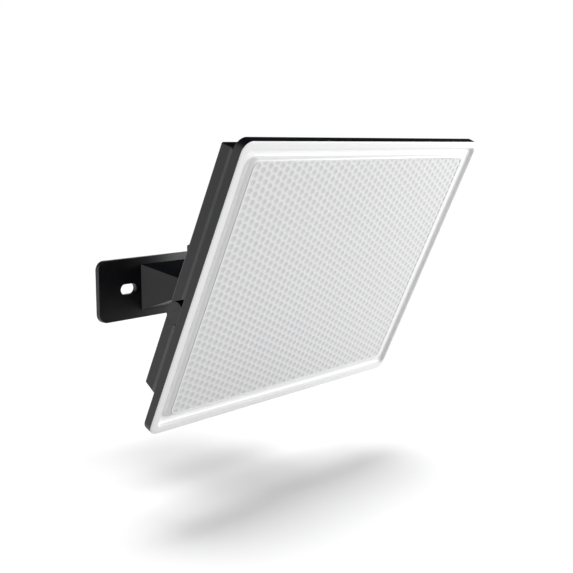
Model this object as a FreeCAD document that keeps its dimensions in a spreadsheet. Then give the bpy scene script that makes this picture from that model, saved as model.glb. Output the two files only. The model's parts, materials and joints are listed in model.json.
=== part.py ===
import FreeCAD, Part
import math
import os
import Sketcher

# Wall-mounted LED flood light. Millimetres, +Z up, +Y into the wall, origin in the wall plane
# at the centre of the wall plate. The pieces of the head are drawn in the head's own frame:
# Y is the depth behind its front, Z is the height above its tilt axis. One placement then
# tilts the whole head.

SIZES = [
    # wall plate and post
    ("plate_width", 139.0, "wall plate, along the wall"),
    ("plate_height", 39.7, "wall plate, upright"),
    ("plate_thickness", 3.2, "wall plate"),
    ("plate_corner", 6.0, "corner radius of the wall plate"),
    ("slot_spacing", 91.0, "between the two slotted holes"),
    ("slot_length", 13.0, "slotted hole, end to end"),
    ("slot_width", 6.8, "slotted hole"),
    ("post_base_width", 69.4, "post where it meets the plate"),
    ("post_base_height", 30.2, "post where it meets the plate"),
    ("post_length", 26.0, "post, from the plate's front to its narrow end"),
    ("post_tip_width", 35.2, "post's narrow end, and the tongue"),
    ("post_tip_height", 8.6, "post's narrow end, and the tongue"),
    ("post_wall", 4.0, "wall around the hollow in the back of the post"),
    ("post_core_depth", 18.0, "hollow in the back of the post"),
    # swivel pivot
    ("swivel_from_wall", 44.0, "upright pivot, from the wall plane"),
    ("bolt_diameter", 8.0, "swivel bolt's shank"),
    ("bolt_head_diameter", 13.0, "swivel bolt's head"),
    ("bolt_head_height", 8.0, "swivel bolt's head"),
    ("bolt_socket", 6.0, "hexagon socket, across flats"),
    ("bolt_head_seat", 14.0, "underside of the bolt's head, above the wall plate's centre"),
    ("nut_flats", 13.0, "swivel nut, across flats"),
    ("nut_height", 6.5, "swivel nut"),
    ("nut_web", 3.6, "metal between the nut and the lower washer boss"),
    ("running_gap", 0.05, "play of a shaft in its bore, on the radius"),
    ("washer_thickness", 0.95, "swivel washer"),
    ("washer_diameter", 24.0, "swivel washer"),
    ("boss_diameter", 26.0, "washer boss inside the fork"),
    ("fork_gap", 17.0, "height of the slot in the arm"),
    ("fork_play", 0.8, "from the tongue's round end to the bottom of the slot"),
    # arm
    ("arm_width", 36.0, "arm"),
    ("arm_top", 28.3, "top of the swivel block, above the plate's centre"),
    ("arm_bottom", 16.0, "underside of the swivel block, below the plate's centre"),
    ("arm_rear_gap", 0.1, "from the post's narrow end to the arm's rear face"),
    ("arm_shoulder", 55.0, "end of the arm's flat top, from the wall"),
    ("arm_heel", 66.0, "front of the arm's flat underside, from the wall"),
    ("arm_knee", 85.0, "bend in the arm's underside, from the wall"),
    ("arm_knee_height", 0.3, "bend in the arm's underside, above the plate's centre"),
    ("arm_edge", 1.2, "rounding of the arm's outer edges"),
    ("cap_thickness", 3.0, "plug over the swivel bolt"),
    # tilt pivot
    ("axis_from_wall", 115.47, "tilt axis, from the wall plane"),
    ("axis_height", 5.44, "tilt axis, above the plate's centre"),
    ("axis_depth", 10.3, "tilt axis, behind the head's front"),
    ("knuckle_radius", 3.3, "round front end of the arm"),
    ("rod_diameter", 3.0, "tilt rod"),
    ("barrel_radius", 6.3, "hinge barrel"),
    ("barrel_play", 0.1, "between the barrel and its groove"),
    ("tilt_washer_radius", 3.2, "washer beside the knuckle"),
    ("tilt_washer_thickness", 1.0, "washer beside the knuckle"),
    ("end_cap_thickness", 1.2, "disc at the barrel's outer end"),
    ("end_cap_stem", 2.0, "stem of the end cap, inside the barrel"),
    ("tilt_nut_radius", 2.4, "round nut on the tilt rod"),
    ("tilt_nut_length", 4.0, "round nut on the tilt rod"),
    # head
    ("head_tilt", 24.9, "degrees that the front leans down from upright"),
    ("head_width", 221.7, "head"),
    ("head_above", 102.4, "head's top edge above the tilt axis, along the head"),
    ("head_below", 72.9, "head's bottom edge below the tilt axis, along the head"),
    ("head_corner", 6.5, "corner radius of the head"),
    ("tray_front", 0.3, "front edge of the tray, behind the head's front"),
    ("tray_rear", 6.0, "rear face of the tray, behind the head's front"),
    ("tray_wall", 1.6, "side wall of the tray"),
    ("tray_plate", 1.8, "flat plate of the tray"),
    ("tray_rear_rounding", 0.9, "rounded rear edge of the tray"),
    ("fit_gap", 0.15, "play between two fixed pieces"),
    # cover
    ("lip_width", 4.2, "raised lip around the cover"),
    ("lip_slope_width", 1.5, "sloped outer edge of the lip, across"),
    ("lip_slope_height", 0.2, "sloped outer edge of the lip, deep"),
    ("recess_depth", 2.8, "recessed border inside the lip"),
    ("recess_rounding", 1.0, "rounding at the foot of the lip"),
    ("block_inset", 8.7, "foot of the raised block, from the head's edge"),
    ("block_draft", 20.0, "degrees that the raised block's sides lean in"),
    ("block_corner", 6.0, "corner radius of the raised block"),
    ("field_side_inset", 12.9, "cell field, from the head's side edges"),
    ("field_end_inset", 11.05, "cell field, from the head's top and bottom edges"),
    ("field_front", 0.2, "front of the cell field, behind the head's front"),
    ("field_thickness", 1.6, "cell field"),
    ("field_overlap", 0.5, "cell field's edge, sunk in the block around it"),
    ("cell_width", 4.56, "from one column of cells to the next"),
    ("cell_height", 4.5, "from one cell to the next in a column"),
    ("cell_groove", 0.35, "depth of the grooves between cells"),
    ("cover_hollow_inset", 10.9, "hollow behind the raised block, from the head's edge"),
    ("gasket_inset", 5.4, "cover gasket, from the head's edge"),
    ("gasket_width", 1.6, "cover gasket"),
    ("gasket_height", 0.9, "cover gasket, sunk in the tray"),
    # light unit
    ("guide_thickness", 1.9, "light guide and LED strips"),
    ("reflector_thickness", 0.25, "reflector sheet"),
    ("strip_thickness", 1.0, "LED strip's board"),
    ("chip_thickness", 0.7, "LED chip"),
    ("chip_length", 3.0, "LED chip, along the strip"),
    ("chip_height", 1.4, "LED chip, across the strip"),
    ("chip_pitch", 6.2, "from one LED chip to the next"),
    # housing
    ("housing_rear", 15.8, "rear face of the housing, behind the head's front"),
    ("housing_side_inset", 1.6, "housing's sides, in from the tray's"),
    ("housing_top_inset", 6.0, "housing's top, in from the tray's"),
    ("housing_bottom_inset", 23.2, "housing's bottom, in from the tray's"),
    ("housing_top_draft", 1.2, "slope of the housing's top, front to rear"),
    ("housing_bottom_draft", 2.3, "slope of the housing's bottom, front to rear"),
    ("housing_edge", 1.2, "rounding of the housing's rear edges"),
    ("flare_width", 1.2, "housing's sides widen by this at the tray"),
    ("flare_depth", 3.0, "widened foot of the housing's sides"),
    ("housing_wall", 2.0, "side walls of the housing"),
    ("housing_back", 1.6, "rear wall of the housing"),
    ("housing_floor", 1.0, "floor of the barrel groove, on the tray"),
    ("notch_height", 11.2, "top of the notch above the barrel, over the tilt axis"),
    ("notch_rear_height", 3.6, "rear end of the notch, over the tilt axis"),
    ("well_up", 14.0, "opening for the arm in the rear wall, over the tilt axis"),
    ("well_down", 20.0, "opening for the arm in the rear wall, under the tilt axis"),
    ("well_floor_reach", 3.2, "opening for the arm at the tray, over and under the tilt axis"),
    ("well_side_gap", 1.15, "between the arm and the sides of its opening"),
    # fasteners and fittings of the housing
    ("barrel_screw_radius", 1.0, "screw from the tray into a barrel"),
    ("barrel_screw_head", 1.9, "radius of that screw's head"),
    ("barrel_screw_head_height", 0.9, "that screw's head, sunk in the tray"),
    ("barrel_screw_length", 6.0, "that screw under its head"),
    ("barrel_screw_height", 4.1, "screws into the barrels, over the tilt axis"),
    ("barrel_screw_near", 32.0, "inner screws into the barrels, from the middle"),
    ("barrel_screw_end", 16.5, "outer screws into the barrels, in from their ends"),
    ("screw_boss_radius", 3.2, "screw boss on the tray"),
    ("screw_radius", 1.25, "housing screw"),
    ("screw_length", 7.0, "housing screw under its head"),
    ("screw_head_radius", 2.8, "housing screw's head"),
    ("screw_head_height", 1.6, "housing screw's head"),
    ("screw_socket", 2.0, "hexagon socket in that head, across flats"),
    ("screw_socket_depth", 1.0, "hexagon socket in that head"),
    ("screw_inset", 6.8, "screw bosses, in from the housing's sides"),
    ("board_width", 120.0, "driver board"),
    ("board_height", 46.0, "driver board"),
    ("board_thickness", 1.2, "driver board"),
    ("board_centre", 52.0, "driver board's middle, over the tilt axis"),
    ("board_stand_off", 1.0, "pads under the driver board"),
    ("board_hole_inset", 4.0, "driver board's screws, from its edges"),
    ("board_pad_radius", 2.5, "pads under the driver board"),
    ("board_screw_radius", 1.0, "driver board's screw"),
    ("board_screw_reach", 0.9, "driver board's screw, into the tray's plate"),
    ("board_bore_reach", 1.1, "bore for that screw, into the tray's plate"),
    ("gland_inset", 22.0, "cable gland and vent, in from the housing's sides"),
    ("gland_height", 44.0, "cable gland, over the tilt axis"),
    ("gland_radius", 7.0, "cable gland's collars"),
    ("gland_neck_radius", 5.0, "cable gland where it passes the wall"),
    ("gland_bore_radius", 3.2, "cable gland's bore"),
    ("gland_outside", 3.0, "cable gland's outer collar"),
    ("gland_inside", 1.5, "cable gland's inner collar"),
    ("vent_radius", 4.0, "vent plug's head"),
    ("vent_head_height", 1.2, "vent plug's head"),
    ("vent_stem_radius", 2.4, "vent plug's stem"),
    ("vent_barb", 0.8, "vent plug's barb, beyond its stem"),
    ("vent_barb_length", 1.0, "vent plug's barb"),
    # driver components, placed from the board's left edge and middle
    ("can_length", 16.0, "capacitor"),
    ("can_diameter", 4.5, "capacitor"),
    ("can_across", 16.0, "capacitors' left ends"),
    ("can_apart", 18.0, "between the capacitors' centres"),
    ("coil_side", 11.0, "inductor"),
    ("coil_height", 4.0, "inductor"),
    ("coil_across", 52.0, "inductor's middle"),
    ("upper_row", 8.5, "upper row of components, over the board's middle"),
    ("lower_row", 9.0, "lower row of components, under the board's middle"),
    ("chip_package", 6.0, "driver chip, across"),
    ("chip_package_height", 4.5, "driver chip, upright"),
    ("chip_package_depth", 1.9, "driver chip"),
    ("chip_across", 71.0, "outer driver chips' middle"),
    ("terminal_width", 10.0, "terminal block"),
    ("terminal_height", 24.0, "terminal block"),
    ("terminal_depth", 4.3, "terminal block"),
    ("terminal_inset", 16.0, "terminal block's middle, from the board's right edge"),
]

HEX_CORNER = 1 / math.sqrt(3)

os.makedirs("parts", exist_ok=True)
doc = FreeCAD.newDocument("flood_light")
sheet = doc.addObject("Spreadsheet::Sheet", "Sizes")
for row, (alias, value, note) in enumerate(SIZES, 1):
    sheet.set(f"A{row}", note)
    sheet.set(f"B{row}", str(value))
    sheet.setAlias(f"B{row}", alias)
doc.recompute()


class Size:
    """A length that carries both its value and the sheet formula it comes from."""

    def __init__(self, value, formula):
        self.value = value
        self.formula = formula

    def __add__(self, other):
        other = as_size(other)
        return Size(self.value + other.value, f"({self.formula} + {other.formula})")

    def __sub__(self, other):
        other = as_size(other)
        return Size(self.value - other.value, f"({self.formula} - {other.formula})")

    def __mul__(self, factor):
        factor = as_size(factor)
        return Size(self.value * factor.value, f"({self.formula} * {factor.formula})")

    def __truediv__(self, divisor):
        divisor = as_size(divisor)
        return Size(self.value / divisor.value, f"({self.formula} / {divisor.formula})")

    def __neg__(self):
        return Size(-self.value, f"(-1 * {self.formula})")


def as_size(number):
    return number if isinstance(number, Size) else Size(float(number), f"({float(number)})")


class SheetSizes:
    """Sizes read from the sheet by name."""

    def __getattr__(self, alias):
        return Size(float(getattr(sheet, alias)), f"Sizes.{alias}")


S = SheetSizes()


def bind(feature, name, size):
    feature.setExpression(name, as_size(size).formula)


# Sketches


def sketch_on(body, name, role, offset=0):
    """A sketch on one of the body's own planes, moved along that plane's normal."""
    plane = next(f for f in body.Origin.OriginFeatures if f.Role == role)
    sketch = body.newObject("Sketcher::SketchObject", name)
    sketch.AttachmentSupport = [(plane, "")]
    sketch.MapMode = "FlatFace"
    bind(sketch, "AttachmentOffset.Base.z", offset)
    return sketch


def front_sketch(body, name, depth):
    """A sketch seen from the front, at a depth along +Y."""
    return sketch_on(body, name, "XZ_Plane", -as_size(depth))


def side_sketch(body, name, across=0):
    """A sketch seen from the side: its first axis is +Y, its second +Z."""
    return sketch_on(body, name, "YZ_Plane", across)


def top_sketch(body, name, height=0):
    return sketch_on(body, name, "XY_Plane", height)


def fix_point(sketch, geometry, point, x, y):
    for kind, size in (("DistanceX", x), ("DistanceY", y)):
        rule = Sketcher.Constraint(kind, -1, 1, geometry, point, size.value)
        index = sketch.addConstraint(rule)
        sketch.setExpression(f"Constraints[{index}]", size.formula)


def polygon(sketch, points):
    corners = [(as_size(x), as_size(y)) for x, y in points]
    first = sketch.GeometryCount
    count = len(corners)
    spots = [FreeCAD.Vector(x.value, y.value, 0) for x, y in corners]
    for i in range(count):
        sketch.addGeometry(Part.LineSegment(spots[i], spots[(i + 1) % count]), False)
    for i, (x, y) in enumerate(corners):
        following = first + (i + 1) % count
        sketch.addConstraint(Sketcher.Constraint("Coincident", first + i, 2, following, 1))
        fix_point(sketch, first + i, 1, x, y)


def rectangle(sketch, left, bottom, right, top):
    polygon(sketch, [(left, bottom), (right, bottom), (right, top), (left, top)])


def centred(sketch, width, height, x=0, y=0):
    x, y = as_size(x), as_size(y)
    rectangle(sketch, x - width / 2, y - height / 2, x + width / 2, y + height / 2)


def circle(sketch, x, y, radius):
    x, y, radius = as_size(x), as_size(y), as_size(radius)
    centre = FreeCAD.Vector(x.value, y.value, 0)
    disc = Part.Circle(centre, FreeCAD.Vector(0, 0, 1), radius.value)
    geometry = sketch.addGeometry(disc, False)
    fix_point(sketch, geometry, 3, x, y)
    index = sketch.addConstraint(Sketcher.Constraint("Radius", geometry, radius.value))
    sketch.setExpression(f"Constraints[{index}]", radius.formula)


def hexagon(sketch, x, y, across_flats):
    corner = across_flats * HEX_CORNER
    half = across_flats / 2
    x, y = as_size(x), as_size(y)
    polygon(sketch, [(x + corner, y), (x + corner / 2, y + half), (x - corner / 2, y + half),
                     (x - corner, y), (x - corner / 2, y - half), (x + corner / 2, y - half)])


def rounded_loop(sketch, centres, radius):
    """Arcs of one radius about four centres, given anticlockwise from the lower left."""
    radius = as_size(radius)
    quarter = math.pi / 2
    normal = FreeCAD.Vector(0, 0, 1)
    spots = [FreeCAD.Vector(x.value, y.value, 0) for x, y in centres]
    outward = [FreeCAD.Vector(0, -1, 0), FreeCAD.Vector(1, 0, 0),
               FreeCAD.Vector(0, 1, 0), FreeCAD.Vector(-1, 0, 0)]
    arcs = []
    lines = []
    for i in range(4):
        disc = Part.Circle(spots[i], normal, radius.value)
        arc = Part.ArcOfCircle(disc, (i + 2) * quarter, (i + 3) * quarter)
        arcs.append(sketch.addGeometry(arc, False))
        shift = outward[i] * radius.value
        edge = Part.LineSegment(spots[i] + shift, spots[(i + 1) % 4] + shift)
        lines.append(sketch.addGeometry(edge, False))
    for i, (x, y) in enumerate(centres):
        sketch.addConstraint(Sketcher.Constraint("Tangent", arcs[i], 2, lines[i], 1))
        sketch.addConstraint(Sketcher.Constraint("Tangent", lines[i], 2, arcs[(i + 1) % 4], 1))
        fix_point(sketch, arcs[i], 3, x, y)
        index = sketch.addConstraint(Sketcher.Constraint("Radius", arcs[i], radius.value))
        sketch.setExpression(f"Constraints[{index}]", radius.formula)


def slot(sketch, x, y, length, width):
    """A level slotted hole."""
    x, y, radius = as_size(x), as_size(y), width / 2
    reach = length / 2 - radius
    left, right = x - reach, x + reach
    normal = FreeCAD.Vector(0, 0, 1)
    up = FreeCAD.Vector(0, radius.value, 0)
    ends = [FreeCAD.Vector(end.value, y.value, 0) for end in (left, right)]
    quarter = math.pi / 2
    discs = [Part.Circle(end, normal, radius.value) for end in ends]
    a = sketch.addGeometry(Part.ArcOfCircle(discs[0], quarter, 3 * quarter), False)
    b = sketch.addGeometry(Part.LineSegment(ends[0] - up, ends[1] - up), False)
    c = sketch.addGeometry(Part.ArcOfCircle(discs[1], -quarter, quarter), False)
    d = sketch.addGeometry(Part.LineSegment(ends[1] + up, ends[0] + up), False)
    for one, other in ((a, b), (b, c), (c, d), (d, a)):
        sketch.addConstraint(Sketcher.Constraint("Tangent", one, 2, other, 1))
    for arc, end in ((a, left), (c, right)):
        fix_point(sketch, arc, 3, end, y)
        index = sketch.addConstraint(Sketcher.Constraint("Radius", arc, radius.value))
        sketch.setExpression(f"Constraints[{index}]", radius.formula)


# Features


def new_body(label, several=False):
    body = doc.addObject("PartDesign::Body", label)
    body.Label = label
    body.AllowCompound = several
    return body


def pad(body, sketch, length, both_ways=False, backwards=False, taper=None):
    feature = body.newObject("PartDesign::Pad", sketch.Name + "_pad")
    feature.Profile = sketch
    bind(feature, "Length", length)
    if both_ways:
        feature.SideType = "Symmetric"
    feature.Reversed = backwards
    if taper is not None:
        bind(feature, "TaperAngle", taper)
    return feature


def pocket(body, sketch, length, both_ways=False, backwards=False):
    feature = body.newObject("PartDesign::Pocket", sketch.Name + "_cut")
    feature.Profile = sketch
    bind(feature, "Length", length)
    if both_ways:
        feature.SideType = "Symmetric"
    feature.Reversed = backwards
    return feature


def edges_where(feature, test):
    doc.recompute()
    return [f"Edge{i}" for i, edge in enumerate(feature.Shape.Edges, 1) if test(edge)]


NEARLY_PARALLEL = 0.9


def runs_along(edge, direction):
    if edge.Curve.TypeId != "Part::GeomLine":
        return False
    span = edge.Vertexes[-1].Point - edge.Vertexes[0].Point
    return abs(span.normalize().dot(FreeCAD.Vector(*direction))) > NEARLY_PARALLEL


def round_edges(body, feature, radius, test):
    names = edges_where(feature, test)
    fillet = body.newObject("PartDesign::Fillet", feature.Name + "_rounded")
    fillet.Base = (feature, names)
    bind(fillet, "Radius", radius)
    return fillet


AXIS_Y = (0, 1, 0)
SMALL = 0.01


def at(value, size):
    return abs(value - as_size(size).value) < SMALL


def head_placement():
    """Where the head's own frame sits: tilted about the tilt axis."""
    axis = FreeCAD.Vector(0, -S.axis_from_wall.value, S.axis_height.value)
    turn = FreeCAD.Rotation(FreeCAD.Vector(1, 0, 0), S.head_tilt.value)
    to_axis = FreeCAD.Placement(FreeCAD.Vector(0, -S.axis_depth.value, 0), FreeCAD.Rotation())
    return FreeCAD.Placement(axis, turn).multiply(to_axis)


def head_panel(sketch, inset_sides, inset_ends=None):
    """A rectangle that follows the head's outline, moved in from its edges."""
    sides = as_size(inset_sides)
    ends = sides if inset_ends is None else as_size(inset_ends)
    half = S.head_width / 2 - sides
    rectangle(sketch, -half, -S.head_below + ends, half, S.head_above - ends)


def rounded_panel(sketch, inset_sides, radius, inset_ends=None):
    """Like head_panel, with rounded corners."""
    sides = as_size(inset_sides) + radius
    ends = sides if inset_ends is None else as_size(inset_ends) + radius
    half = S.head_width / 2 - sides
    bottom = -S.head_below + ends
    top = S.head_above - ends
    centres = [(-half, bottom), (half, bottom), (half, top), (-half, top)]
    rounded_loop(sketch, centres, radius)


def mirrored_pair(value):
    return (-as_size(value), as_size(value))


nodes = []


def wall_bracket():
    """Wall plate, post and tongue: one casting, hollow from behind."""
    body = new_body("wall_bracket")
    sketch = front_sketch(body, "plate", 0)
    centred(sketch, S.plate_width, S.plate_height)
    plate = pad(body, sketch, S.plate_thickness)
    round_edges(body, plate, S.plate_corner, lambda e: runs_along(e, AXIS_Y))

    tip_depth = S.plate_thickness + S.post_length
    base = front_sketch(body, "post_base", -S.plate_thickness)
    centred(base, S.post_base_width, S.post_base_height)
    tip = front_sketch(body, "post_tip", -tip_depth)
    centred(tip, S.post_tip_width, S.post_tip_height)
    post = body.newObject("PartDesign::AdditiveLoft", "post")
    post.Profile = base
    post.Sections = [tip]
    post.Ruled = True

    outline = top_sketch(body, "tongue")
    half = S.post_tip_width / 2
    rectangle(outline, -half, -S.swivel_from_wall, half, -tip_depth)
    pad(body, outline, S.post_tip_height, both_ways=True)
    outline = top_sketch(body, "tongue_end")
    circle(outline, 0, -S.swivel_from_wall, half)
    pad(body, outline, S.post_tip_height, both_ways=True)

    shrink = S.post_core_depth / tip_depth
    mouth = front_sketch(body, "core_mouth", 0)
    mouth_width = S.post_base_width - S.post_wall * 2
    mouth_height = S.post_base_height - S.post_wall * 2
    centred(mouth, mouth_width, mouth_height)
    floor = front_sketch(body, "core_floor", -S.post_core_depth)
    centred(floor, mouth_width - (S.post_base_width - S.post_tip_width) * shrink,
            mouth_height - (S.post_base_height - S.post_tip_height) * shrink)
    core = body.newObject("PartDesign::SubtractiveLoft", "core")
    core.Profile = mouth
    core.Sections = [floor]
    core.Ruled = True

    holes = front_sketch(body, "slots", 0)
    for x in mirrored_pair(S.slot_spacing / 2):
        slot(holes, x, 0, S.slot_length, S.slot_width)
    pocket(body, holes, S.plate_thickness * 4, both_ways=True)

    bore = top_sketch(body, "swivel_bore")
    circle(bore, 0, -S.swivel_from_wall, S.bolt_diameter / 2 + S.running_gap)
    pocket(body, bore, S.post_tip_height * 2, both_ways=True)
    nodes.append(body)


def swivel_arm():
    """Fork around the tongue, tapering to a round knuckle on the tilt axis: one casting."""
    body = new_body("swivel_arm")
    rear = -(S.plate_thickness + S.post_length + S.arm_rear_gap)
    side = side_sketch(body, "arm_side")
    polygon(side, [(rear, S.arm_top), (-S.arm_shoulder, S.arm_top),
                   (-S.axis_from_wall, S.axis_height + S.knuckle_radius),
                   (-S.axis_from_wall, S.axis_height - S.knuckle_radius),
                   (-S.arm_knee, S.arm_knee_height), (-S.arm_heel, -S.arm_bottom),
                   (rear, -S.arm_bottom)])
    arm = pad(body, side, S.arm_width, both_ways=True)
    half = S.arm_width / 2
    shoulder = S.arm_shoulder.value
    round_edges(body, arm, S.arm_edge, lambda e: at(abs(e.CenterOfMass.x), half)
                and e.CenterOfMass.y > -shoulder - SMALL and not at(e.CenterOfMass.y, rear))

    knuckle = side_sketch(body, "knuckle")
    circle(knuckle, -S.axis_from_wall, S.axis_height, S.knuckle_radius)
    pad(body, knuckle, S.arm_width, both_ways=True)

    tongue_end = S.swivel_from_wall + S.post_tip_width / 2 + S.fork_play
    gap = side_sketch(body, "fork")
    rectangle(gap, -tongue_end, -S.fork_gap / 2, -S.plate_thickness, S.fork_gap / 2)
    pocket(body, gap, S.arm_width * 2, both_ways=True)

    washer_seat = S.post_tip_height / 2 + S.running_gap + S.washer_thickness
    boss_height = S.fork_gap / 2 - washer_seat
    for name, height, down in (("upper_boss", washer_seat, False),
                               ("lower_boss", -washer_seat, True)):
        ring = top_sketch(body, name, height)
        circle(ring, 0, -S.swivel_from_wall, S.boss_diameter / 2)
        pad(body, ring, boss_height, backwards=down)

    bore = top_sketch(body, "bolt_bore")
    circle(bore, 0, -S.swivel_from_wall, S.bolt_diameter / 2 + S.running_gap)
    pocket(body, bore, S.arm_top * 4, both_ways=True)
    counterbore = top_sketch(body, "head_seat", S.bolt_head_seat)
    circle(counterbore, 0, -S.swivel_from_wall, S.bolt_head_diameter / 2 + S.fork_play)
    pocket(body, counterbore, S.arm_top, backwards=True)
    nut_seat = top_sketch(body, "nut_seat", -washer_seat - S.nut_web)
    hexagon(nut_seat, 0, -S.swivel_from_wall, S.nut_flats + S.fit_gap * 2)
    pocket(body, nut_seat, S.arm_bottom)

    rod = side_sketch(body, "rod_bore")
    circle(rod, -S.axis_from_wall, S.axis_height, S.rod_diameter / 2 + S.running_gap)
    pocket(body, rod, S.arm_width * 2, both_ways=True)
    nodes.append(body)


def swivel_fasteners():
    """Bolt, nut, two washers and the plug over the bolt's head."""
    y = -S.swivel_from_wall
    washer_seat = S.post_tip_height / 2 + S.running_gap + S.washer_thickness
    nut_top = washer_seat + S.nut_web

    bolt = new_body("swivel_bolt")
    shank = top_sketch(bolt, "shank", -nut_top - S.nut_height)
    circle(shank, 0, y, S.bolt_diameter / 2)
    pad(bolt, shank, nut_top + S.nut_height + S.bolt_head_seat)
    head = top_sketch(bolt, "bolt_head", S.bolt_head_seat)
    circle(head, 0, y, S.bolt_head_diameter / 2)
    pad(bolt, head, S.bolt_head_height)
    socket = top_sketch(bolt, "bolt_socket_cut", S.bolt_head_seat + S.bolt_head_height)
    hexagon(socket, 0, y, S.bolt_socket)
    pocket(bolt, socket, S.bolt_head_height / 2)
    nodes.append(bolt)

    nut = new_body("swivel_nut")
    ring = top_sketch(nut, "nut_outline", -nut_top)
    hexagon(ring, 0, y, S.nut_flats)
    circle(ring, 0, y, S.bolt_diameter / 2 + S.running_gap)
    pad(nut, ring, S.nut_height, backwards=True)
    nodes.append(nut)

    washers = new_body("swivel_washers", several=True)
    for name, height, down in (("upper_washer", washer_seat, True),
                               ("lower_washer", -washer_seat, False)):
        ring = top_sketch(washers, name, height)
        circle(ring, 0, y, S.washer_diameter / 2)
        circle(ring, 0, y, S.bolt_diameter / 2 + S.running_gap * 2)
        pad(washers, ring, S.washer_thickness, backwards=down)
    nodes.append(washers)

    cap = new_body("swivel_cap")
    disc = top_sketch(cap, "cap_disc", S.arm_top - S.cap_thickness)
    circle(disc, 0, y, S.bolt_head_diameter / 2 + S.fork_play - S.running_gap)
    pad(cap, disc, S.cap_thickness)
    stem = top_sketch(cap, "cap_stem", S.bolt_head_seat + S.bolt_head_height)
    circle(stem, 0, y, S.bolt_head_diameter / 2)
    circle(stem, 0, y, S.bolt_head_diameter / 4)
    pad(cap, stem, S.arm_top - S.bolt_head_seat - S.bolt_head_height - S.cap_thickness)
    nodes.append(cap)


def head_body(label, several=False):
    """A piece of the head: drawn upright, then placed with the head."""
    body = new_body(label, several)
    body.Placement = head_placement()
    nodes.append(body)
    return body


def screw_spots():
    """Screw bosses between tray and housing: four in the corners, four between them."""
    side = S.head_width / 2 - S.housing_side_inset - S.screw_inset
    top = S.head_above - S.housing_top_inset - S.screw_inset - S.housing_wall
    bottom = -S.head_below + S.housing_bottom_inset + S.screw_inset + S.housing_wall
    beside_notch = S.notch_height + S.screw_inset + S.housing_wall
    spots = [(as_size(0), top), (as_size(0), bottom)]
    for x in mirrored_pair(side):
        spots += [(x, top), (x, beside_notch), (x, bottom)]
    return spots


def board_screw_spots():
    x_reach = S.board_width / 2 - S.board_hole_inset
    z_reach = S.board_height / 2 - S.board_hole_inset
    return [(x, S.board_centre + z) for x in mirrored_pair(x_reach)
            for z in mirrored_pair(z_reach)]


def head_tray():
    """Shallow tray that carries the cover and the light unit, with screw bosses behind."""
    body = head_body("head_tray")
    outline = front_sketch(body, "tray_outline", S.tray_rear)
    head_panel(outline, 0)
    slab = pad(body, outline, S.tray_rear - S.tray_front)
    corners = round_edges(body, slab, S.head_corner, lambda e: runs_along(e, AXIS_Y))
    rear = S.tray_rear
    round_edges(body, corners, S.tray_rear_rounding, lambda e: at(e.CenterOfMass.y, rear))

    inside = front_sketch(body, "tray_inside", S.tray_front)
    rounded_panel(inside, S.tray_wall, S.head_corner - S.tray_wall)
    plate_front = S.tray_rear - S.tray_plate
    pocket(body, inside, plate_front - S.tray_front)

    groove = front_sketch(body, "gasket_groove", plate_front)
    head_panel(groove, S.gasket_inset)
    head_panel(groove, S.gasket_inset + S.gasket_width)
    pocket(body, groove, S.gasket_height)

    boss_end = S.housing_rear - S.housing_back - S.running_gap
    bosses = front_sketch(body, "screw_bosses", boss_end)
    for x, z in screw_spots():
        circle(bosses, x, z, S.screw_boss_radius)
    pad(body, bosses, boss_end - S.tray_rear)
    bores = front_sketch(body, "screw_bores", boss_end)
    for x, z in screw_spots():
        circle(bores, x, z, S.screw_radius + S.running_gap)
    pocket(body, bores, S.screw_length - S.housing_back, backwards=True)

    pads = front_sketch(body, "board_pads", S.tray_rear + S.board_stand_off)
    for x, z in board_screw_spots():
        circle(pads, x, z, S.board_pad_radius)
    pad(body, pads, S.board_stand_off)
    seats = front_sketch(body, "barrel_screw_seats", plate_front)
    holes = front_sketch(body, "barrel_screw_passages", plate_front)
    for x, z in barrel_screw_spots():
        circle(seats, x, z, S.barrel_screw_head + S.fit_gap)
        circle(holes, x, z, S.barrel_screw_radius + S.fit_gap)
    pocket(body, seats, S.barrel_screw_head_height)
    pocket(body, holes, S.tray_plate)
    bores = front_sketch(body, "board_bores", S.tray_rear + S.board_stand_off)
    for x, z in board_screw_spots():
        circle(bores, x, z, S.board_screw_radius + S.running_gap)
    pocket(body, bores, S.board_stand_off + S.board_bore_reach, backwards=True)


def ridged_slab(label, front, rear, slope_sign, ridges_at_front):
    """A slab with straight V grooves over one face, running along one diagonal of the cells."""
    half_width = S.head_width.value / 2 - S.field_side_inset.value
    half_height = (S.head_above.value + S.head_below.value) / 2 - S.field_end_inset.value
    middle = (S.head_above.value - S.head_below.value) / 2
    run = math.hypot(S.cell_width.value, S.cell_height.value / 2)
    pitch = S.cell_width.value * S.cell_height.value / run
    reach = math.hypot(half_width, half_height)
    count = math.ceil(reach / pitch)
    ridge, valley = (front, front + S.cell_groove.value) if ridges_at_front else \
                    (rear, rear - S.cell_groove.value)
    flat = rear if ridges_at_front else front
    outline = [FreeCAD.Vector(-count * pitch, flat, -reach)]
    for i in range(-count, count):
        outline.append(FreeCAD.Vector(i * pitch, valley, -reach))
        outline.append(FreeCAD.Vector((i + 0.5) * pitch, ridge, -reach))
    outline.append(FreeCAD.Vector(count * pitch, valley, -reach))
    outline.append(FreeCAD.Vector(count * pitch, flat, -reach))
    face = Part.Face(Part.makePolygon(outline + outline[:1]))
    slab = doc.addObject("Part::Feature", label)
    slab.Shape = face.extrude(FreeCAD.Vector(0, 0, 2 * reach))
    lean = slope_sign * math.degrees(math.atan2(S.cell_width.value, S.cell_height.value / 2))
    turn = FreeCAD.Rotation(FreeCAD.Vector(0, 1, 0), lean)
    slab.Placement = FreeCAD.Placement(FreeCAD.Vector(0, 0, middle), turn)
    return slab


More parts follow.
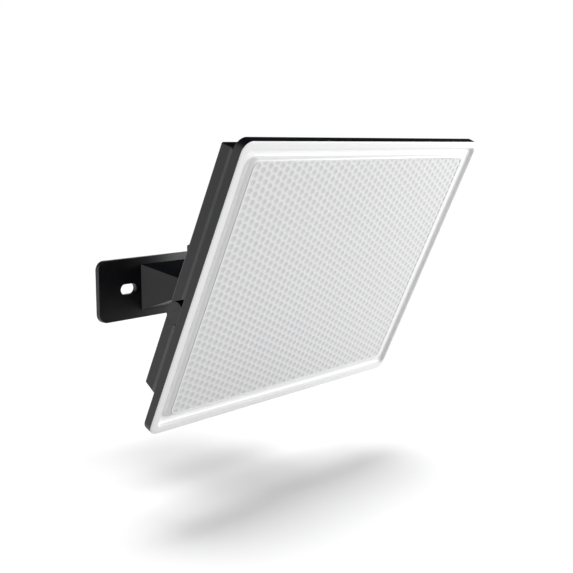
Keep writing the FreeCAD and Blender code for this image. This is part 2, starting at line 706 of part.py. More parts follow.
def front_cover():
    """White cover: outer lip, recessed border and a raised block with a field of cells."""
    body = new_body("cover_frame")
    edge = front_sketch(body, "cover_edge", S.tray_front)
    head_panel(edge, 0)
    rim = pad(body, edge, S.tray_front)
    corners = round_edges(body, rim, S.head_corner, lambda e: runs_along(e, AXIS_Y))
    names = edges_where(corners, lambda e: at(e.CenterOfMass.y, 0))
    slope = body.newObject("PartDesign::Chamfer", "lip_slope")
    slope.Base = (corners, names)
    slope.ChamferType = "Two distances"
    slope.FlipDirection = True
    bind(slope, "Size", S.lip_slope_width)
    bind(slope, "Size2", S.lip_slope_height)

    plate_front = S.tray_rear - S.tray_plate
    inner = front_sketch(body, "cover_inner", plate_front)
    inner_inset = S.tray_wall + S.fit_gap
    rounded_panel(inner, inner_inset, S.head_corner - inner_inset)
    pad(body, inner, plate_front - S.tray_front)

    recess = front_sketch(body, "cover_recess", 0)
    head_panel(recess, S.lip_width)
    hollow = pocket(body, recess, S.recess_depth)
    depth = S.recess_depth
    round_edges(body, hollow, S.recess_rounding, lambda e: at(e.CenterOfMass.y, depth)
                or (runs_along(e, AXIS_Y) and at(e.BoundBox.YMin, 0)))

    block = front_sketch(body, "cover_block", S.recess_depth)
    rounded_panel(block, S.block_inset, S.block_corner)
    pad(body, block, S.recess_depth, taper=-S.block_draft)

    hollow_depth = S.field_front + S.field_thickness - S.cell_groove * 2
    behind = front_sketch(body, "cover_hollow", hollow_depth)
    head_panel(behind, S.cover_hollow_inset)
    pocket(body, behind, S.tray_rear)
    window = front_sketch(body, "field_window", 0)
    head_panel(window, S.field_side_inset, S.field_end_inset)
    pocket(body, window, S.tray_rear)

    front, rear = S.field_front.value, (S.field_front + S.field_thickness).value
    field_box = new_body("field_box")
    outline = front_sketch(field_box, "field_outline", S.field_front + S.field_thickness)
    head_panel(outline, S.field_side_inset - S.field_overlap, S.field_end_inset - S.field_overlap)
    pad(field_box, outline, S.field_thickness)
    field = doc.addObject("Part::MultiCommon", "cell_field")
    field.Shapes = [field_box, ridged_slab("front_grooves", front, rear, 1, True),
                    ridged_slab("rear_grooves", front, rear, -1, False)]
    cover = doc.addObject("Part::MultiFuse", "front_cover")
    cover.Label = "front_cover"
    cover.Shapes = [body, field]
    cover.Placement = head_placement()
    nodes.append(cover)


def cover_gasket():
    body = head_body("cover_gasket")
    front = S.tray_rear - S.tray_plate
    ring = front_sketch(body, "gasket_ring", front + S.gasket_height)
    head_panel(ring, S.gasket_inset + S.running_gap)
    head_panel(ring, S.gasket_inset + S.gasket_width - S.running_gap)
    pad(body, ring, S.gasket_height)


def light_unit():
    """Light guide lit from its left and right edges by LED strips, with a reflector behind."""
    guide_rear = S.tray_rear - S.tray_plate - S.reflector_thickness
    play = S.fit_gap
    strip_outer = S.cover_hollow_inset + play
    chip_outer = strip_outer + S.strip_thickness
    guide_outer = chip_outer + S.chip_thickness + play

    reflector = head_body("reflector_sheet")
    sheet_outline = front_sketch(reflector, "reflector_outline", S.tray_rear - S.tray_plate)
    head_panel(sheet_outline, strip_outer)
    pad(reflector, sheet_outline, S.reflector_thickness)

    guide = head_body("light_guide")
    outline = front_sketch(guide, "guide_outline", guide_rear)
    head_panel(outline, guide_outer, strip_outer)
    pad(guide, outline, S.guide_thickness)

    strips = head_body("led_strips", several=True)
    boards = front_sketch(strips, "strip_outline", guide_rear)
    bottom, top = -S.head_below + strip_outer, S.head_above - strip_outer
    half = S.head_width / 2
    rectangle(boards, -half + strip_outer, bottom, -half + chip_outer, top)
    rectangle(boards, half - chip_outer, bottom, half - strip_outer, top)
    pad(strips, boards, S.guide_thickness)

    depth = guide_rear - (S.guide_thickness + S.chip_height) / 2
    middle = (S.head_above - S.head_below) / 2
    count = int((top - bottom).value / S.chip_pitch.value)
    boxes = []
    for i in range(count):
        z = middle + S.chip_pitch * (i - (count - 1) / 2) - S.chip_length / 2
        for x in (-half + chip_outer, half - chip_outer - S.chip_thickness):
            chip = doc.addObject("Part::Box", "led_chip")
            bind(chip, "Length", S.chip_thickness)
            bind(chip, "Width", S.chip_height)
            bind(chip, "Height", S.chip_length)
            bind(chip, "Placement.Base.x", x)
            bind(chip, "Placement.Base.y", depth)
            bind(chip, "Placement.Base.z", z)
            boxes.append(chip)
    chips = doc.addObject("Part::Compound", "led_chips")
    chips.Label = "led_chips"
    chips.Links = boxes
    chips.Placement = head_placement()
    nodes.append(chips)


def gland_across():
    return S.head_width / 2 - S.housing_side_inset - S.gland_inset


def rear_housing():
    """Shallow box behind the tray, its sides flared at the foot, with a groove for the barrels
    and an opening for the arm."""
    body = head_body("rear_housing", several=True)
    top = S.head_above - S.housing_top_inset
    bottom = -S.head_below + S.housing_bottom_inset
    side = side_sketch(body, "housing_side")
    polygon(side, [(S.tray_rear, top), (S.housing_rear, top - S.housing_top_draft),
                   (S.housing_rear, bottom + S.housing_bottom_draft), (S.tray_rear, bottom)])
    width = S.head_width - S.housing_side_inset * 2
    shell = pad(body, side, width, both_ways=True)
    rear = S.housing_rear.value
    front = S.tray_rear.value
    round_edges(body, shell, S.housing_edge,
                lambda e: e.CenterOfMass.y > front + SMALL)

    flares = top_sketch(body, "side_flares", bottom + S.housing_bottom_draft)
    for side in (-1, 1):
        polygon(flares, [((width - S.housing_wall) / 2 * side, S.tray_rear),
                         ((width / 2 + S.flare_width) * side, S.tray_rear),
                         (width / 2 * side, S.tray_rear + S.flare_depth),
                         ((width - S.housing_wall) / 2 * side, S.tray_rear + S.flare_depth)])
    pad(body, flares, top - bottom - S.housing_top_draft - S.housing_bottom_draft)

    cavity_depth = S.housing_rear - S.housing_back - S.tray_rear
    inner = width / 2 - S.housing_wall
    upper = front_sketch(body, "upper_cavity", S.tray_rear)
    above_notch = S.notch_height + S.housing_wall
    rectangle(upper, -inner, above_notch, inner, top - S.housing_top_draft - S.housing_wall)
    pocket(body, upper, cavity_depth)
    lower = front_sketch(body, "lower_cavity", S.tray_rear)
    below_barrel = -S.barrel_radius - S.barrel_play - S.housing_wall
    below_well = -S.well_down - S.housing_wall
    beside_well = S.arm_width / 2 + S.well_side_gap + S.housing_wall
    floor = bottom + S.housing_bottom_draft + S.housing_wall
    polygon(lower, [(-inner, below_barrel), (-beside_well, below_barrel),
                    (-beside_well, below_well), (beside_well, below_well),
                    (beside_well, below_barrel), (inner, below_barrel),
                    (inner, floor), (-inner, floor)])
    pocket(body, lower, cavity_depth)

    groove = side_sketch(body, "barrel_groove")
    circle(groove, S.axis_depth, 0, S.barrel_radius + S.barrel_play)
    pocket(body, groove, width * 2, both_ways=True)
    notch = side_sketch(body, "notch")
    polygon(notch, [(S.tray_rear - 1, 0), (S.housing_rear, 0),
                    (S.housing_rear, S.notch_rear_height), (S.tray_rear, S.notch_height),
                    (S.tray_rear - 1, S.notch_height)])
    pocket(body, notch, width * 2, both_ways=True)
    groove_floor = front_sketch(body, "groove_floor", S.tray_rear + S.housing_floor)
    rectangle(groove_floor, -width / 2, below_barrel, width / 2, above_notch)
    pad(body, groove_floor, S.housing_floor)
    well = side_sketch(body, "arm_well")
    polygon(well, [(S.tray_rear - 1, -S.well_floor_reach), (S.tray_rear, -S.well_floor_reach),
                   (S.housing_rear, -S.well_down), (S.housing_rear + 1, -S.well_down),
                   (S.housing_rear + 1, S.well_up), (S.housing_rear, S.well_up),
                   (S.tray_rear, S.well_floor_reach), (S.tray_rear - 1, S.well_floor_reach)])
    pocket(body, well, S.arm_width + S.well_side_gap * 2, both_ways=True)

    holes = front_sketch(body, "housing_holes", S.tray_rear)
    for x, z in screw_spots():
        circle(holes, x, z, S.screw_radius + S.fit_gap)
    for x, z in barrel_screw_spots():
        circle(holes, x, z, S.barrel_screw_radius + S.fit_gap)
    circle(holes, gland_across(), S.gland_height, S.gland_neck_radius + S.running_gap)
    circle(holes, -gland_across(), S.gland_height, S.vent_stem_radius + S.running_gap)
    pocket(body, holes, S.housing_rear)


def housing_screws():
    body = head_body("housing_screws", several=True)
    heads = front_sketch(body, "screw_heads", S.housing_rear + S.screw_head_height)
    shanks = front_sketch(body, "screw_shanks", S.housing_rear)
    sockets = front_sketch(body, "screw_sockets", S.housing_rear + S.screw_head_height)
    for x, z in screw_spots():
        circle(heads, x, z, S.screw_head_radius)
        circle(shanks, x, z, S.screw_radius)
        hexagon(sockets, x, z, S.screw_socket)
    pad(body, heads, S.screw_head_height)
    pad(body, shanks, S.screw_length - S.fit_gap)
    pocket(body, sockets, S.screw_socket_depth, backwards=True)


def barrel_outer_end():
    return S.head_width / 2 - S.housing_side_inset - S.end_cap_thickness


def cut_flat(body, name):
    """Cut the barrels' flat front where they lie on the floor of their groove."""
    flat = side_sketch(body, name)
    rectangle(flat, 0, -S.barrel_radius * 2, S.tray_rear + S.housing_floor, S.barrel_radius * 2)
    pocket(body, flat, S.head_width * 2, both_ways=True)


def barrel_screw_reaches():
    """How far the inner and the outer barrel screws are from the middle."""
    return S.barrel_screw_near, barrel_outer_end() - S.barrel_screw_end


def barrel_screw_spots():
    return [(x, S.barrel_screw_height) for reach in barrel_screw_reaches()
            for x in mirrored_pair(reach)]


def barrel_screws():
    """Screws from the front of the tray into the barrels, their heads sunk in its plate."""
    plate_front = S.tray_rear - S.tray_plate
    body = head_body("barrel_screws", several=True)
    heads = front_sketch(body, "barrel_screw_heads", plate_front + S.barrel_screw_head_height)
    shanks = front_sketch(body, "barrel_screw_shanks", plate_front + S.barrel_screw_length)
    for x, z in barrel_screw_spots():
        circle(heads, x, z, S.barrel_screw_head)
        circle(shanks, x, z, S.barrel_screw_radius)
    pad(body, heads, S.barrel_screw_head_height)
    pad(body, shanks, S.barrel_screw_length)


def hinge_barrels():
    """Barrels with a flat front on the tray, round at the back, bored for the tilt rod."""
    inner = S.arm_width / 2 + S.running_gap * 2 + S.tilt_washer_thickness
    outer = barrel_outer_end()
    for label, sign in (("hinge_barrel_left", -1), ("hinge_barrel_right", 1)):
        body = head_body(label)
        left = sign < 0
        end = side_sketch(body, label + "_round", inner * sign)
        circle(end, S.axis_depth, 0, S.barrel_radius)
        circle(end, S.axis_depth, 0, S.rod_diameter / 2 + S.running_gap)
        pad(body, end, outer - inner, backwards=left)
        cut_flat(body, label + "_flat")
        seat = side_sketch(body, label + "_seat", outer * sign)
        circle(seat, S.axis_depth, 0, S.tilt_nut_radius + S.running_gap)
        pocket(body, seat, S.tilt_nut_length + S.end_cap_stem, backwards=left)
        holes = front_sketch(body, label + "_screw_holes", S.tray_rear)
        for across in barrel_screw_reaches():
            circle(holes, across * sign, S.barrel_screw_height, S.barrel_screw_radius)
        pocket(body, holes, S.barrel_screw_length)


def tilt_pivot():
    """Rod through barrels and knuckle, with its nuts, washers and end caps."""
    outer = barrel_outer_end()
    rod_end = outer - S.end_cap_stem

    rod = head_body("tilt_rod")
    section = side_sketch(rod, "rod_section")
    circle(section, S.axis_depth, 0, S.rod_diameter / 2)
    pad(rod, section, rod_end * 2, both_ways=True)

    nuts = head_body("tilt_nuts", several=True)
    washers = head_body("tilt_washers", several=True)
    caps = head_body("barrel_end_caps", several=True)
    for name, sign in (("left", -1), ("right", 1)):
        left = sign < 0
        ring = side_sketch(nuts, name + "_nut", (rod_end - S.tilt_nut_length) * sign)
        circle(ring, S.axis_depth, 0, S.tilt_nut_radius)
        circle(ring, S.axis_depth, 0, S.rod_diameter / 2 + S.running_gap)
        pad(nuts, ring, S.tilt_nut_length, backwards=left)

        start = S.arm_width / 2 + S.running_gap
        ring = side_sketch(washers, name + "_washer", start * sign)
        circle(ring, S.axis_depth, 0, S.tilt_washer_radius)
        circle(ring, S.axis_depth, 0, S.rod_diameter / 2 + S.running_gap)
        pad(washers, ring, S.tilt_washer_thickness, backwards=left)

        stem = side_sketch(caps, name + "_stem", (outer - S.end_cap_stem) * sign)
        circle(stem, S.axis_depth, 0, S.tilt_nut_radius)
        pad(caps, stem, S.end_cap_stem, backwards=left)
        disc = side_sketch(caps, name + "_disc", outer * sign)
        circle(disc, S.axis_depth, 0, S.barrel_radius)
        pad(caps, disc, S.end_cap_thickness, backwards=left)
    cut_flat(caps, "cap_flats")


def driver():
    """Driver board on the tray's pads, with its components, terminals and screws."""
    board_front = S.tray_rear + S.board_stand_off
    board_rear = board_front + S.board_thickness
    board = head_body("driver_board")
    outline = front_sketch(board, "board_outline", board_rear)
    centred(outline, S.board_width, S.board_height, 0, S.board_centre)
    for x, z in board_screw_spots():
        circle(outline, x, z, S.board_screw_radius + S.fit_gap)
    pad(board, outline, S.board_thickness)

    left = -S.board_width / 2
    z = S.board_centre

    capacitors = head_body("driver_capacitors", several=True)
    can_radius = S.can_diameter / 2
    cans = side_sketch(capacitors, "capacitor_cans", left + S.can_across)
    for offset in mirrored_pair(S.can_apart / 2):
        circle(cans, board_rear + can_radius, z + offset, can_radius)
    pad(capacitors, cans, S.can_length)

    def blocks(label, width, height, depth, places):
        piece = head_body(label, several=True)
        shape = front_sketch(piece, label + "_outline", board_rear + depth)
        for across, up in places:
            centred(shape, width, height, across, z + up)
        pad(piece, shape, depth)

    coil = left + S.coil_across
    chips = left + S.chip_across
    blocks("driver_inductor", S.coil_side, S.coil_side, S.coil_height, [(coil, S.upper_row)])
    blocks("driver_chips", S.chip_package, S.chip_package_height, S.chip_package_depth,
           [(coil, -S.lower_row), (chips, S.upper_row), (chips, -S.lower_row)])
    blocks("terminal_block", S.terminal_width, S.terminal_height, S.terminal_depth,
           [(-left - S.terminal_inset, 0)])

    screws = head_body("driver_screws", several=True)
    heads = front_sketch(screws, "board_screw_heads", board_rear + S.board_screw_radius)
    shanks = front_sketch(screws, "board_screw_shanks", board_rear)
    for x, z in board_screw_spots():
        circle(heads, x, z, S.board_screw_radius * 2)
        circle(shanks, x, z, S.board_screw_radius)
    pad(screws, heads, S.board_screw_radius)
    pad(screws, shanks, S.board_thickness + S.board_stand_off + S.board_screw_reach)


def collared_plug(label, x, z, neck, outer, outside, inner, inside, bore=None):
    """A fitting through the housing's rear wall, with a collar on each side of it."""
    body = head_body(label)
    for name, depth, radius, length in (
            ("_outer", S.housing_rear + outside, outer, outside),
            ("_neck", S.housing_rear, neck, S.housing_back),
            ("_inner", S.housing_rear - S.housing_back, inner, inside)):
        disc = front_sketch(body, label + name, depth)
        circle(disc, x, z, radius)
        pad(body, disc, length)
    if bore is not None:
        hole = front_sketch(body, label + "_bore", 0)
        circle(hole, x, z, bore)
        pocket(body, hole, S.housing_rear * 2)


def fittings():
    collared_plug("cable_gland", gland_across(), S.gland_height, S.gland_neck_radius,
                  S.gland_radius, S.gland_outside, S.gland_radius, S.gland_inside,
                  S.gland_bore_radius)
    collared_plug("vent_plug", -gland_across(), S.gland_height, S.vent_stem_radius,
                  S.vent_radius, S.vent_head_height, S.vent_stem_radius + S.vent_barb,
                  S.vent_barb_length)


wall_bracket()
swivel_arm()
swivel_fasteners()
head_tray()
front_cover()
cover_gasket()
light_unit()
rear_housing()
housing_screws()
hinge_barrels()
barrel_screws()
tilt_pivot()
driver()
fittings()
doc.recompute()

for item in doc.Objects:
    if "Invalid" in item.State or "Error" in item.State:
        raise RuntimeError(f"{item.Label} failed: {item.State}")
for node in nodes:
    if node.Shape.isNull() or not node.Shape.isValid() or not node.Shape.Solids:
        raise RuntimeError(f"{node.Label} has no sound shape")
for node in nodes:
    node.Shape.exportStep(f"parts/{node.Label}.step")
    print(node.Label, len(node.Shape.Solids), round(node.Shape.Volume, 1))
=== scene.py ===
import math

import bmesh
import bpy
from mathutils import Matrix, Vector
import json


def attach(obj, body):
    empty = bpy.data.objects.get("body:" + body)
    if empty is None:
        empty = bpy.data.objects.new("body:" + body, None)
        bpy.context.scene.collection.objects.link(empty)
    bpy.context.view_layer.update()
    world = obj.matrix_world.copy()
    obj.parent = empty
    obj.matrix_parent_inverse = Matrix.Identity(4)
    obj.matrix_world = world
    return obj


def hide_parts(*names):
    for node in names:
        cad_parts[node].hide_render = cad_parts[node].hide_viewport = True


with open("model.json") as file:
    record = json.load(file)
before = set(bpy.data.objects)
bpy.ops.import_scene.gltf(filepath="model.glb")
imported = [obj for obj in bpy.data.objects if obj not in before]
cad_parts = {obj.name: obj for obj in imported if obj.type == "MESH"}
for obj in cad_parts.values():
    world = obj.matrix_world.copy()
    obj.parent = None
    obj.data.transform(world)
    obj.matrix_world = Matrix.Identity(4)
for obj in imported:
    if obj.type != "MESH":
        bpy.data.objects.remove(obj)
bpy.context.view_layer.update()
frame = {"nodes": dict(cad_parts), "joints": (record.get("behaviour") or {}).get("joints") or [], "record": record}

MM = 0.001

# The head's own frame, as in the CAD: X across, Y the depth behind its front, Z the height
# above its tilt axis
HEAD_TILT = math.radians(24.9)
AXIS_DEPTH = 10.3
HEAD_WIDTH = 221.7
HEAD_ABOVE = 102.4
HEAD_BELOW = 72.9
tilt_joint = next(joint for joint in frame["joints"] if joint["name"] == "head_tilt")
HEAD_TO_ROW = (Matrix.Translation(Vector(tilt_joint["pos_m"]))
               @ Matrix.Rotation(HEAD_TILT, 4, "X")
               @ Matrix.Translation(Vector((0, -AXIS_DEPTH * MM, 0))))


def head_point(x, depth, z):
    return HEAD_TO_ROW @ Vector((x * MM, depth * MM, z * MM))


def mesh_piece(name, bm, smooth_angle=None):
    """A mesh object of the visual model, with outward normals."""
    bmesh.ops.recalc_face_normals(bm, faces=bm.faces)
    mesh = bpy.data.meshes.new(name)
    bm.to_mesh(mesh)
    bm.free()
    piece = bpy.data.objects.new(name, mesh)
    bpy.context.scene.collection.objects.link(piece)
    if smooth_angle is not None:
        mesh.polygons.foreach_set("use_smooth", [True] * len(mesh.polygons))
        mesh.set_sharp_from_angle(angle=math.radians(smooth_angle))
    return piece


# Camera, at the photo's angle. The photo is 573 pixels square.

PHOTO_SIZE = 573
FOCAL_PIXELS = 966.2
SENSOR = 36.0
CAMERA_PLACE = Vector((-0.4483, -0.4831, 0.0926))
CAMERA_FORWARD = Vector((0.75102, 0.64404, -0.14550))


def make_camera():
    data = bpy.data.cameras.new("camera")
    data.sensor_width = SENSOR
    data.lens = FOCAL_PIXELS / PHOTO_SIZE * SENSOR
    data.dof.use_dof = False
    camera = bpy.data.objects.new("camera", data)
    camera.location = CAMERA_PLACE
    camera.rotation_mode = "QUATERNION"
    camera.rotation_quaternion = CAMERA_FORWARD.to_track_quat("-Z", "Y")
    bpy.context.scene.collection.objects.link(camera)
    bpy.context.scene.camera = camera


# Materials


class Nodes:
    """Short calls for building one material's node tree."""

    def __init__(self, name):
        self.material = bpy.data.materials.new(name)
        self.material.use_nodes = True
        self.tree = self.material.node_tree
        self.shader = self.tree.nodes["Principled BSDF"]
        self.coordinates = self.add("ShaderNodeTexCoord").outputs["Object"]

    def add(self, kind, **settings):
        node = self.tree.nodes.new(kind)
        for key, value in settings.items():
            setattr(node, key, value)
        return node

    def link(self, source, target):
        self.tree.links.new(source, target)

    def noise(self, scale, detail=2.0, roughness=0.5):
        node = self.add("ShaderNodeTexNoise")
        node.inputs["Scale"].default_value = scale
        node.inputs["Detail"].default_value = detail
        node.inputs["Roughness"].default_value = roughness
        self.link(self.coordinates, node.inputs["Vector"])
        return node.outputs["Fac"]

    def spread(self, source, low, high, start=0.3, end=0.7):
        """Map a factor from start..end to low..high."""
        node = self.add("ShaderNodeMapRange")
        node.inputs["From Min"].default_value = start
        node.inputs["From Max"].default_value = end
        node.inputs["To Min"].default_value = low
        node.inputs["To Max"].default_value = high
        self.link(source, node.inputs["Value"])
        return node.outputs["Result"]

    def blend(self, factor, first, second):
        """Mix two colours by a factor."""
        node = self.add("ShaderNodeMix", data_type="RGBA")
        self.link(factor, node.inputs["Factor"])
        node.inputs["A"].default_value = (*first, 1)
        node.inputs["B"].default_value = (*second, 1)
        return node.outputs["Result"]

    def bump(self, height, strength, distance):
        node = self.add("ShaderNodeBump")
        node.inputs["Strength"].default_value = strength
        node.inputs["Distance"].default_value = distance
        self.link(height, node.inputs["Height"])
        self.link(node.outputs["Normal"], self.shader.inputs["Normal"])

    def set(self, **values):
        for key, value in values.items():
            self.shader.inputs[key.replace("_", " ")].default_value = value


def powder_coat():
    """Black satin powder coat: a fine grain with slight changes of sheen."""
    n = Nodes("black_powder_coat")
    n.link(n.blend(n.spread(n.noise(260), 0, 1), (0.0028, 0.0030, 0.0044),
                   (0.0045, 0.0047, 0.0066)), n.shader.inputs["Base Color"])
    n.link(n.spread(n.noise(35), 0.38, 0.44), n.shader.inputs["Roughness"])
    n.bump(n.noise(1900, detail=3), 0.12, 0.0003)
    return n.material


def black_plastic():
    n = Nodes("black_moulded_plastic")
    n.link(n.blend(n.spread(n.noise(90), 0, 1), (0.010, 0.010, 0.011),
                   (0.018, 0.018, 0.019)), n.shader.inputs["Base Color"])
    n.link(n.spread(n.noise(400), 0.42, 0.55), n.shader.inputs["Roughness"])
    n.bump(n.noise(1200), 0.1, 0.0002)
    return n.material


def white_cover():
    """White plastic, greyed by a mesh attribute: painted shade in the cells' hollows and in the groove at the
    left.
    """
    n = Nodes("white_cover_plastic")
    painted_shade = n.add("ShaderNodeAttribute", attribute_name="painted_shade")
    # The grey colour is painted shade, mixed in by the attribute
    n.link(n.blend(painted_shade.outputs["Fac"], (0.955, 0.955, 0.96), (0.70, 0.70, 0.71)),
           n.shader.inputs["Base Color"])
    n.link(n.spread(n.noise(35), 0.28, 0.31), n.shader.inputs["Roughness"])
    n.set(IOR=1.45)
    return n.material


def steel():
    n = Nodes("stainless_steel")
    n.link(n.blend(n.spread(n.noise(700), 0, 1), (0.50, 0.50, 0.49), (0.64, 0.63, 0.62)),
           n.shader.inputs["Base Color"])
    n.link(n.spread(n.noise(1500), 0.22, 0.36), n.shader.inputs["Roughness"])
    n.set(Metallic=1.0)
    return n.material


def plain_finish(name, dark, light, low, high, scale=200, metallic=0.0):
    """A finish that varies a little in colour and in roughness."""
    n = Nodes(name)
    n.link(n.blend(n.spread(n.noise(scale), 0, 1), dark, light), n.shader.inputs["Base Color"])
    n.link(n.spread(n.noise(scale * 3), low, high), n.shader.inputs["Roughness"])
    n.set(Metallic=metallic)
    return n.material


def make_materials():
    return {
        "black_coat": powder_coat(),
        "black_plastic": black_plastic(),
        "white_plastic": white_cover(),
        "steel": steel(),
        "seal": plain_finish("silicone_seal", (0.03,) * 3, (0.05,) * 3, 0.6, 0.75),
        "white_sheet": plain_finish("reflector_film", (0.9,) * 3, (0.94,) * 3, 0.5, 0.6),
        "clear_acrylic": plain_finish("light_guide", (0.80, 0.84, 0.86), (0.86, 0.89, 0.90),
                                      0.08, 0.14),
        "white_board": plain_finish("white_mask", (0.78,) * 3, (0.84,) * 3, 0.4, 0.5),
        "phosphor": plain_finish("led_phosphor", (0.75, 0.55, 0.1), (0.85, 0.65, 0.15),
                                 0.25, 0.35),
        "green_board": plain_finish("green_mask", (0.01, 0.09, 0.035), (0.02, 0.13, 0.05),
                                    0.3, 0.4),
        "can_metal": plain_finish("can_metal", (0.5,) * 3, (0.6,) * 3, 0.3, 0.4, 300, 1.0),
        "grey_plastic": plain_finish("grey_plastic", (0.22, 0.23, 0.24), (0.27, 0.28, 0.29),
                                     0.45, 0.55),
    }


def dress_nodes(materials):
    slots = {part["node"]: part["material_slot"] for part in frame["record"]["subparts"]}
    for name, node in frame["nodes"].items():
        node.data.materials.clear()
        node.data.materials.append(materials[slots[name]])


# Front cover: lip, recessed border, raised block and net of cells

# The field of cells: inset from the sides and from the ends, corner radius, and how far its
# middle is from the head's middle
FIELD_EDGE = (13.6, 11.4, 3.4)
FIELD_SHIFT = (-0.6, 0.5)
FIELD_OVERLAP = 0.4
# Depth of the frame's step behind the net, and of the net's own back
FIELD_BACK = 1.75
NET_BACK = 1.6
# The net's front: depth, and how much painted shade it gets
NET_DEPTH = 0.05
NET_PAINTED_SHADE = 0.4
CELL_WIDTH = 4.5706
CELL_HEIGHT = 4.5167
FIRST_CELL_ACROSS = 1.374
FIRST_CELL_DOWN = 1.985
# Rings of a cell from its border inwards: share of the cell, depth, and how much painted shade, darkest at the
# cell's middle
CELL_RINGS = [(0.86, 0.07, 0.45), (0.66, 0.2, 0.85), (0.40, 0.3, 1.0)]
# The cell's middle: depth, and its painted shade
CELL_FLOOR = (0.33, 1.0)
CORNER_STEPS = 8
COVER_BACK = 4.2
SMOOTH_ANGLE = 35
CELL_SIDES = 6
# Distances, in mm, under which points are one, a cut meets a point, and a side is left out
WELD_DISTANCE = 0.01
CUT_DISTANCE = 1e-5
SHORTEST_SIDE = 1e-6

# Section of the cover's frame, from the tray round the front to the hollow behind it: inset
# from the sides, inset from the ends, corner radius, depth at the left and at the right, shift
# to the right, painted shade at the left. The groove beside the net fades out to the right,
# and only its left half gets painted shade, where it faces away from the lamps.
COVER_SECTION = [
    (0.0, 0.0, 6.5, 0.3, 0.3, 0.0, 0.0),
    (0.0, 0.0, 6.5, 0.22, 0.22, 0.0, 0.0),
    (0.2, 0.2, 6.3, 0.14, 0.14, 0.0, 0.0),
    (1.3, 1.3, 5.4, 0.02, 0.02, 0.0, 0.0),
    (1.6, 1.6, 5.2, 0.0, 0.0, 0.0, 0.0),
    (3.6, 3.9, 3.5, 0.0, 0.0, 1.1, 0.0),
    (3.8, 4.1, 3.3, 0.0, 0.0, 1.1, 0.0),
    (4.0, 4.35, 3.2, 0.1, 0.1, 1.1, 0.0),
    (4.15, 4.5, 3.1, 0.5, 0.5, 1.1, 0.0),
    (4.4, 4.7, 3.0, 1.3, 1.3, 1.1, 0.0),
    (4.9, 5.1, 2.9, 2.0, 1.85, 0.9, 0.0),
    (5.7, 5.8, 3.0, 2.55, 2.1, 0.5, 0.0),
    (7.0, 7.0, 4.6, 2.8, 2.0, 0.0, 0.0),
    (8.4, 8.4, 6.5, 2.8, 1.4, 0.0, 0.0),
    (8.8, 8.8, 6.2, 2.6, 1.2, 0.0, 0.0),
    (9.3, 9.3, 5.8, 1.2, 0.75, 0.0, 0.0),
    (9.6, 9.6, 5.6, 0.85, 0.5, 0.0, 0.0),
    (11.2, 10.2, 4.8, 0.15, 0.1, 0.0, 0.0),
    (11.5, 10.4, 4.6, 0.05, 0.0, 0.0, 0.0),
    # The groove: its last value is painted shade on the left half
    (11.85, 10.55, 4.4, 0.5, 0.0, 0.0, 0.9),
    (12.25, 10.75, 4.1, 0.5, 0.0, 0.0, 0.9),
    (12.45, 10.95, 3.9, 0.05, 0.0, 0.0, 0.0),
    (12.7, 11.1, 3.8, 0.0, 0.0, 0.0, 0.0),
    FIELD_EDGE + (0.0, 0.0, FIELD_SHIFT[0], 0.0),
    FIELD_EDGE + (FIELD_BACK, FIELD_BACK, FIELD_SHIFT[0], 0.0),
    (10.9, 10.9, 4.5, FIELD_BACK, FIELD_BACK, 0.0, 0.0),
    (10.9, 10.9, 4.5, COVER_BACK, COVER_BACK, 0.0, 0.0),
    (1.75, 1.75, 4.6, COVER_BACK, COVER_BACK, 0.0, 0.0),
    (1.75, 1.75, 4.6, 0.3, 0.3, 0.0, 0.0),
]


def corner_arcs(side, end, radius, shift):
    """Rounded rectangle as (x, z) points, anticlockwise, in the head's own frame."""
    right = HEAD_WIDTH / 2 - side - radius + shift[0]
    left = -HEAD_WIDTH / 2 + side + radius + shift[0]
    bottom = -HEAD_BELOW + end + radius + shift[1]
    top = HEAD_ABOVE - end - radius + shift[1]
    points = []
    for i, (x, z) in enumerate([(right, top), (left, top), (left, bottom), (right, bottom)]):
        for step in range(CORNER_STEPS + 1):
            angle = (i + step / CORNER_STEPS) * math.pi / 2
            points.append((x + radius * math.cos(angle), z + radius * math.sin(angle)))
    return points


def add_cover_frame(bm, painted_shade):
    rings = []
    for side, end, radius, left_depth, right_depth, across, grey in COVER_SECTION:
        rise = FIELD_SHIFT[1] if (side, end, radius) == FIELD_EDGE else 0
        ring = []
        for x, z in corner_arcs(side, end, radius, (across, rise)):
            vert = bm.verts.new(head_point(x, left_depth if x < 0 else right_depth, z))
            # Painted shade only on the left half, which faces away from the lamps
            vert[painted_shade] = grey if x < 0 else 0
            ring.append(vert)
        rings.append(ring)
    for i, ring in enumerate(rings):
        following = rings[(i + 1) % len(rings)]
        for j in range(len(ring)):
            k = (j + 1) % len(ring)
            bm.faces.new((ring[j], ring[k], following[k], following[j]))


